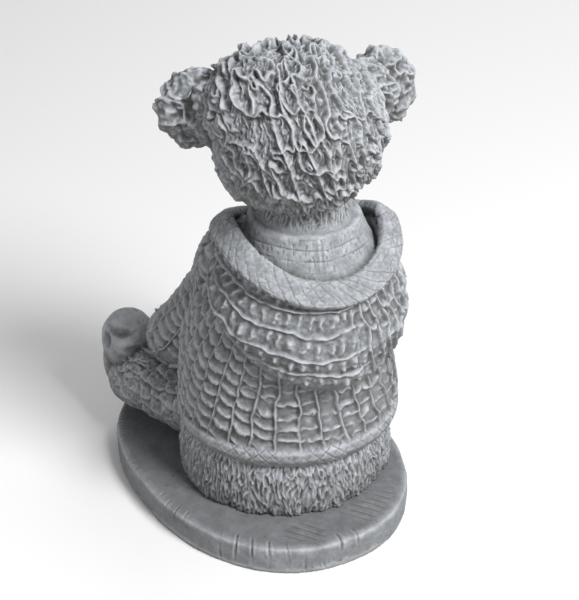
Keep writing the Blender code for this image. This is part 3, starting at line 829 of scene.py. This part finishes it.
def carve_face(points, normals):
    """Short fur on the muzzle, with the mouth cut into it."""
    side, forward, height = on_head(points)
    fur = net(points, MUZZLE_LOCK, 61, width=0.5)
    front = ramp(forward, *MUZZLE_FRONT)
    smile = ridge(height + MOUTH_DROP - MOUTH_CURVE * side ** 2, 1.0)
    smile *= np.abs(side) < MOUTH_REACH
    seam = ridge(side, 0.9) * (height > -MOUTH_DROP) * (height < -6.0)
    return 0.7 * (fur - 0.3) * (1.0 - 0.6 * front) - 1.5 * front * np.maximum(smile, seam)


def carve_bead(points, normals):
    return 0.3 * grit(points)


def carve_neck(points, normals):
    """Short tufts stand where the head meets the neck."""
    high = ramp(points[:, 2], *NECK_FUR)
    strands = tufts(points, normals, 3.4, 6.0, 1.7, 65, jitter=0.3)
    return 3.0 * high * (strands - 0.25) + 0.8 * grit(points)


def carve_roll(points, normals):
    """Courses of fine incised blocks run round the rolled neck, with one upright seam."""
    angle = roll.around(points)
    height = points[:, 2] + 1.2 * swell(points, 14.0, 73)
    odd = np.floor(height / ROLL_COURSE[0]) % 2.0
    along = angle * ROLL_RADIUS + odd * (ROLL_BLOCK[0] / 2.0) + 1.8 * swell(points, 7.0, 71)
    faded = held(1.8 * swell(points, 7.0, 72) + 0.8)
    lines = np.minimum(scratch(height, *ROLL_COURSE), scratch(along, *ROLL_BLOCK))
    seam = (ridge((angle - 0.3) * ROLL_RADIUS, ROLL_SEAM)
            - ridge((angle - 0.25) * ROLL_RADIUS, ROLL_SEAM))
    body = ramp(points[:, 2], *ROLL_BLOCKS) * (points[:, 2] < 176.0)
    marks = body * (0.5 * faded * lines + 0.45 * seam)
    return marks + 0.4 * swell(points, 6.0, 74) + 0.8 * grit(points)


def carve_rim(points, normals):
    """Fine slanting lines run across the hood's broad edge, and a few cross them."""
    along, across, _ = rim.local(points)
    bend = 1.6 * swell(points, 10.0, 75)
    faded = held(1.4 * swell(points, 11.0, 76) + 0.75)
    weak = held(1.6 * swell(points, 12.0, 79) + 0.3)
    slant = scratch(along + 0.9 * across + bend, *RIM_SLANT) * faded
    cross = scratch(along - 1.1 * across - bend, *RIM_CROSS) * weak
    fine = scratch(across + 0.7 * swell(points, 8.0, 77), *RIM_ALONG) * weak
    lines = np.minimum(np.minimum(0.6 * slant, 0.5 * cross), 0.35 * fine)
    return lines + 0.5 * swell(points, 7.0, 78) + 1.2 * grit(points)


def carve_hem(points, normals):
    """A lattice is scratched into the hem and fades out at the sides."""
    angle = hem.around(points)
    along = angle * HEM_RADIUS
    bend = 0.8 * swell(points, 10.0, 82)
    faded = held(swell(points, 16.0, 83) + 0.8)
    faded *= held((1.25 - angle) / 0.3)
    lines = np.minimum(scratch(along + points[:, 2] + bend, *HEM_LATTICE),
                       scratch(along - points[:, 2] - bend, *HEM_LATTICE))
    return 0.5 * faded * lines + 0.35 * swell(points, 7.0, 84) + 0.8 * grit(points)


def carve_cuff(points, normals):
    return 0.4 * swell(points, 6.0, 85) + 0.8 * grit(points)


def carve_sole(points, normals):
    return 0.5 * grit(points)


# Each finish: its shapes, its carving, and how far a crest leans down for each share it rises
FINISHES = {
    "head": ([head, crown, jaw, *cheeks], carve_head, 0.45),
    "ear": ([*ear(1), *ear(-1)], carve_ear, 0.0),
    "face": ([muzzle], carve_face, 0.0),
    "bead": ([nose, *eyes], carve_bead, 0.0),
    "neck": ([neck], carve_neck, 0.0),
    "roll": ([roll], carve_roll, 0.0),
    "rim": ([rim], carve_rim, 0.0),
    "hood": ([hood, wall], carve_hood, 0.2),
    "knit": ([torso], carve_knit, 0.25),
    "left_sleeve": ([left_arm], partial(carve_sleeve, arm=left_arm), 0.12),
    "right_sleeve": ([right_arm], partial(carve_sleeve, arm=right_arm), 0.12),
    "cuff": ([left_cuff, right_cuff], carve_cuff, 0.0),
    "hem": ([hem], carve_hem, 0.0),
    "skirt": ([hips], carve_skirt, 0.3),
    "leg": ([left_leg, right_leg], carve_leg, 0.3),
    "paw": ([left_paw, right_paw], carve_paw, 0.0),
    "foot": ([left_foot, right_foot], carve_foot, 0.0),
    "sole": ([left_sole, right_sole], carve_sole, 0.0),
}


def finish_weights(points, names):
    """How much each finish owns each point: nearly all or nothing, soft at the seams."""
    depths = np.stack([np.min([shape.depth(points) for shape in FINISHES[name][0]], axis=0)
                       for name in names])
    nearness = np.exp(-np.clip(depths - depths.min(axis=0), 0.0, 40.0) / BLEND)
    return nearness / nearness.sum(axis=0)


def slab_sections():
    """The slab's sections: a small step in at its foot and a rounded upper edge."""
    high = SLAB_THICKNESS
    soft = SLAB_TOP_ROUNDING
    sections = [(0.0, SLAB_FOOT_INSET), (SLAB_FOOT_HEIGHT, 0.0)]
    for step in range(7):
        angle = 0.5 * pi * step / 6.0
        sections.append((high - soft + soft * sin(angle), soft * (1.0 - cos(angle))))
    return [(level, 0.0, 0.0, SLAB_WIDTH / 2 - inset, SLAB_LENGTH / 2 - inset)
            for level, inset in sections]


slab = Stack((0.0, 0.0, 0.0), slab_sections(), power=SLAB_POWER)


def carve_slab(places):
    """Metres to raise the slab: an uneven face, strokes on its edge and combed lines behind."""
    points = places / MILLIMETRE
    side = ramp(slab.oval(places)[0], *SLAB_EDGE)
    angle = np.arctan2(points[:, 0], points[:, 1])
    rim_wave = 0.45 * swell(points, 9.0, 90) + 0.5 * swell(points, 24.0, 91)
    along = angle * SLAB_RADIUS + 0.9 * swell(points, 8.0, 92)
    faded = held(2.2 * swell(points, 17.0, 93))
    strokes = scratch(along, *SLAB_STROKE) * faded * side
    rear = ramp(points[:, 1], *SLAB_REAR) * (1.0 - side)
    slant = points[:, 0] * 0.8 + points[:, 1] * 0.55 + swell(points, 12.0, 94)
    combed = scratch(slant, *SLAB_COMB)
    combed *= rear * held(1.8 * swell(points, 22.0, 95) + 0.2)
    sound = held(points[:, 2] / 2.0)
    return MILLIMETRE * sound * (rim_wave + 0.9 * strokes + 0.55 * combed + 0.5 * grit(points))


def apply_modifiers(piece):
    """Give the object the mesh that its modifiers make."""
    graph = bpy.context.evaluated_depsgraph_get()
    made = bpy.data.meshes.new_from_object(piece.evaluated_get(graph))
    piece.modifiers.clear()
    piece.data = made


def read_array(data, name, width=3, kind=np.float32):
    values = np.empty(len(data) * width, kind)
    data.foreach_get(name, values)
    return values.reshape(-1, width).astype(np.float64 if kind is np.float32 else kind)


def soften(places, edges, rounds):
    """Pull each point halfway to the middle of its neighbours, over and over."""
    count = len(places)
    links = np.bincount(edges.ravel(), minlength=count)
    for _ in range(rounds):
        middle = np.stack([np.bincount(edges[:, 0], places[edges[:, 1], axis], count)
                           + np.bincount(edges[:, 1], places[edges[:, 0], axis], count)
                           for axis in range(3)], axis=1) / links[:, None]
        places = places + (middle - places) * 0.5
    return places


def move_points(piece, places):
    piece.data.vertices.foreach_set("co", places.ravel())
    piece.data.update()


def new_piece(name, mesh):
    data = bpy.data.meshes.new(name)
    mesh.to_mesh(data)
    mesh.free()
    piece = bpy.data.objects.new(name, data)
    bpy.context.scene.collection.objects.link(piece)
    return piece


def fused_skin(name, mesh, grid, rounds):
    """The closed skin round everything in the mesh, softened, and the places of its points."""
    piece = new_piece(name, mesh)
    fuse = piece.modifiers.new("Fuse", "REMESH")
    fuse.mode = "VOXEL"
    fuse.voxel_size = grid
    apply_modifiers(piece)
    edges = read_array(piece.data.edges, "vertices", 2, np.int32)
    places = soften(read_array(piece.data.vertices, "co"), edges, rounds)
    move_points(piece, places)
    return piece, places


def carved_piece(name, finishes, grid, facets):
    """Fuse the shapes of some finishes, then carve along the skin's own normals."""
    mesh = bmesh.new()
    for finish in finishes:
        for shape in FINISHES[finish][0]:
            shape.add_to(mesh)
    bmesh.ops.scale(mesh, vec=(UNIT, UNIT, UNIT), verts=mesh.verts)
    bmesh.ops.translate(mesh, vec=(0.0, 0.0, SLAB_THICKNESS), verts=mesh.verts)
    piece, places = fused_skin(name, mesh, grid, SKIN_SMOOTHING)
    normals = read_array(piece.data.vertices, "normal")
    points = (places - np.array((0.0, 0.0, SLAB_THICKNESS))) / UNIT
    height = np.zeros(len(points))
    lean = np.zeros(len(points))
    for finish, weight in zip(finishes, finish_weights(points, finishes)):
        near = weight > LEAST_WEIGHT
        if near.any():
            _, carve, leaning = FINISHES[finish]
            value = carve(points[near], normals[near])
            height[near] += weight[near] * value
            lean[near] += weight[near] * value * leaning
    clear = ramp(slab.depth(places) / UNIT, *SLAB_CLEAR)
    hang = np.array((0.0, 0.0, -1.0)) - normals * -normals[:, 2:3]
    shift = normals * height[:, None] + hang * np.maximum(lean, 0.0)[:, None]
    move_points(piece, places + shift * clear[:, None] * UNIT)
    return dressed(piece, facets)


def slab_piece():
    """The slab, carved on its top and its edge and flat underneath."""
    mesh = bmesh.new()
    slab.add_to(mesh, around=160)
    piece, places = fused_skin("oval_slab", mesh, SLAB_GRID, SLAB_SMOOTHING)
    places += read_array(piece.data.vertices, "normal") * carve_slab(places)[:, None]
    places[places[:, 2] < SLAB_FOOT_INSET, 2] = 0.0
    move_points(piece, places)
    return dressed(piece, SLAB_FACETS)


def dressed(piece, facets):
    """Thin the skin out, note its relief, and give it its material and its place."""
    thin_out(piece, facets)
    mark_relief(piece)
    piece.data.materials.append(CEMENT)
    piece.data.shade_smooth()
    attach(piece, "root")
    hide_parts(NODE)
    return piece


def thin_out(piece, facets):
    """Bring the skin down to its last facets, dense where the carving is."""
    piece.data.calc_loop_triangles()
    reduce = piece.modifiers.new("Thin out", "DECIMATE")
    reduce.ratio = min(1.0, facets / len(piece.data.loop_triangles))
    reduce.use_collapse_triangulate = True
    apply_modifiers(piece)


def mark_relief(piece):
    """Note on each point how far it stands out of its surroundings, near and wide."""
    data = piece.data
    places = read_array(data.vertices, "co")
    normals = read_array(data.vertices, "normal")
    edges = read_array(data.edges, "vertices", 2, np.int32)
    for name, rounds in (("crest", CREST_ROUNDS), ("hollow", HOLLOW_ROUNDS)):
        calm = soften(places, edges, rounds)
        value = ((places - calm) * normals).sum(axis=1) / MILLIMETRE
        mark = data.attributes.new(name, "FLOAT", "POINT")
        mark.data.foreach_set("value", value.astype(np.float32))


class Nodes:
    """A short way to lay out a material's nodes."""

    def __init__(self, tree):
        self.tree = tree

    def link(self, value, socket):
        if isinstance(value, bpy.types.NodeSocket):
            self.tree.links.new(value, socket)
        else:
            socket.default_value = value

    def texture(self, kind, place, size):
        node = self.tree.nodes.new(kind)
        self.link(place, node.inputs["Vector"])
        node.inputs["Scale"].default_value = 1.0 / size
        return node

    def noise(self, place, size, detail, roughness=0.55):
        node = self.texture("ShaderNodeTexNoise", place, size)
        node.inputs["Detail"].default_value = detail
        node.inputs["Roughness"].default_value = roughness
        return node.outputs["Fac"]

    def spots(self, place, size):
        return self.texture("ShaderNodeTexVoronoi", place, size).outputs["Distance"]

    def attribute(self, name):
        node = self.tree.nodes.new("ShaderNodeAttribute")
        node.attribute_name = name
        return node.outputs["Fac"]

    def height(self, place):
        parts = self.tree.nodes.new("ShaderNodeSeparateXYZ")
        self.link(place, parts.inputs[0])
        return parts.outputs["Z"]

    def facing_up(self):
        """1 where the surface faces up and -1 where it faces down."""
        surface = self.tree.nodes.new("ShaderNodeNewGeometry")
        return self.height(surface.outputs["Normal"])

    def spread(self, value, low, high, to_low=0.0, to_high=1.0):
        node = self.tree.nodes.new("ShaderNodeMapRange")
        self.link(value, node.inputs["Value"])
        limits = {"From Min": low, "From Max": high, "To Min": to_low, "To Max": to_high}
        for name, limit in limits.items():
            node.inputs[name].default_value = limit
        return node.outputs["Result"]

    def math(self, kind, first, second):
        node = self.tree.nodes.new("ShaderNodeMath")
        node.operation = kind
        self.link(first, node.inputs[0])
        self.link(second, node.inputs[1])
        return node.outputs[0]

    def blend(self, share, first, second):
        node = self.tree.nodes.new("ShaderNodeMix")
        node.data_type = "RGBA"
        self.link(share, node.inputs["Factor"])
        self.link(first, node.inputs[6])
        self.link(second, node.inputs[7])
        return node.outputs[2]


def new_material(name):
    material = bpy.data.materials.new(name)
    material.use_nodes = True
    return material, material.node_tree.nodes["Principled BSDF"]


def cement():
    """Dry grey cement: pale on crests, partly wear and partly painted highlight; painted shade, a
    little brown with grime, in hollows, nooks and undersides; dust and painted shade on the slab's
    top.
    """
    material, shader = new_material("cast_cement")
    tree = material.node_tree
    make = Nodes(tree)
    place = tree.nodes.new("ShaderNodeTexCoord").outputs["Object"]
    crest = make.attribute("crest")
    hollow = make.attribute("hollow")

    clouds = make.noise(place, CLOUD, 4.0)
    mottle = make.noise(place, MOTTLE, 5.0, 0.65)
    grain = make.noise(place, GRAIN, 2.0, 0.6)
    colour = make.blend(make.spread(clouds, 0.35, 0.65), DARK_CEMENT, MIDDLE_CEMENT)
    colour = make.blend(make.spread(mottle, 0.35, 0.68), colour, PALE_CEMENT)
    colour = make.blend(make.spread(grain, 0.3, 0.7, 0.0, 0.3), colour, PALE_GRAIN)
    # Paler on crests that stand out of their near surroundings: partly wear, partly painted
    # highlight
    rubbed_and_highlight = make.math("MULTIPLY", make.spread(crest, 0.02, 0.32),
                       make.spread(mottle, 0.3, 0.6, 0.45, 1.0))
    # Painted shade in wide hollows, with a slight brown grime tint
    hollow_shade_and_grime = make.spread(hollow, -0.15, -1.3)
    # Painted shade in narrow nooks and creases
    nook_shade = make.spread(crest, -0.05, -0.45)
    for share, relief_tone in ((rubbed_and_highlight, RUBBED_AND_HIGHLIT_CREST), (hollow_shade_and_grime, WIDE_HOLLOW_SHADE_AND_GRIME), (nook_shade, NARROW_NOOK_SHADE)):
        colour = make.blend(make.math("MULTIPLY", share, RELIEF_TONE_SHARE), colour, relief_tone)
    # Painted shade on faces that turn down
    underside_shade = make.spread(make.facing_up(), 0.38, -0.42, 0.0, 0.66)
    colour = make.blend(underside_shade, colour, UNDERSIDE_SHADE)
    # Darker on upward faces at the slab's top: partly dust, partly painted shade
    slab_dust_and_shade = make.math("MULTIPLY", make.spread(make.height(place), 0.023, 0.0185),
                       make.spread(make.facing_up(), 0.5, 0.95, 0.0, 0.5))
    colour = make.blend(slab_dust_and_shade, colour, SLAB_DUST_AND_SHADE)
    holes = make.math("MULTIPLY", make.spread(make.spots(place, PINHOLE_GAP), 0.13, 0.07),
                      make.spread(make.noise(place, PINHOLE_PATCH, 1.0), 0.52, 0.60))
    colour = make.blend(make.math("MULTIPLY", holes, 0.7), colour, PINHOLE)
    make.link(colour, shader.inputs["Base Color"])
    make.link(make.spread(mottle, 0.3, 0.7, 0.96, 0.84), shader.inputs["Roughness"])
    shader.inputs["Specular IOR Level"].default_value = 0.3

    rough = make.math("ADD", make.math("MULTIPLY", make.noise(place, PIT, 4.0, 0.7), 0.7),
                      make.math("MULTIPLY", grain, 0.3))
    rough = make.math("SUBTRACT", rough, make.math("MULTIPLY", holes, 0.9))
    bump = tree.nodes.new("ShaderNodeBump")
    bump.inputs["Strength"].default_value = 0.55
    bump.inputs["Distance"].default_value = 0.0009
    make.link(rough, bump.inputs["Height"])
    make.link(bump.outputs["Normal"], shader.inputs["Normal"])
    return material


def floor():
    """A wide pale floor just under the slab."""
    mesh = bmesh.new()
    bmesh.ops.create_grid(mesh, x_segments=1, y_segments=1, size=FLOOR_REACH)
    piece = new_piece("floor", mesh)
    material, shader = new_material("pale_floor")
    shader.inputs["Base Color"].default_value = FLOOR_COLOUR
    shader.inputs["Roughness"].default_value = FLOOR_ROUGHNESS
    piece.data.materials.append(material)


def from_view(right, upward, back):
    """A place in metres from the aim, as the camera sees it, with upward straight up."""
    turn = radians(VIEW_AZIMUTH)
    away = Vector((sin(turn), -cos(turn), 0.0))
    beside = Vector((cos(turn), sin(turn), 0.0))
    return AIM + beside * right + away * back + Vector((0.0, 0.0, upward))


def aimed(piece, place):
    piece.location = place
    piece.rotation_euler = (AIM - place).to_track_quat("-Z", "Y").to_euler()
    bpy.context.scene.collection.objects.link(piece)
    return piece


def camera():
    data = bpy.data.cameras.new("photo_view")
    data.sensor_width = SENSOR_WIDTH
    data.lens = LENS
    rise = radians(VIEW_HEIGHT)
    place = from_view(0.0, VIEW_DISTANCE * sin(rise), VIEW_DISTANCE * cos(rise))
    bpy.context.scene.camera = aimed(bpy.data.objects.new("photo_view", data), place)


def lamp(name, place, size, power):
    data = bpy.data.lights.new(name, "AREA")
    data.shape = "DISK"
    data.size = size
    data.energy = power
    aimed(bpy.data.objects.new(name, data), from_view(*place))


def lights():
    world = bpy.data.worlds.new("soft_white")
    world.use_nodes = True
    sky = world.node_tree.nodes["Background"]
    sky.inputs["Color"].default_value = (1.0, 1.0, 1.0, 1.0)
    sky.inputs["Strength"].default_value = SKY_STRENGTH
    bpy.context.scene.world = world
    bpy.context.scene.view_settings.view_transform = "Standard"
    for name, (place, size, power) in LAMPS.items():
        lamp(name, place, size, power)


CEMENT = cement()
for name, (finishes, grid, facets) in PIECES.items():
    carved_piece(name, finishes, grid, facets)
slab_piece()
floor()
camera()
lights()
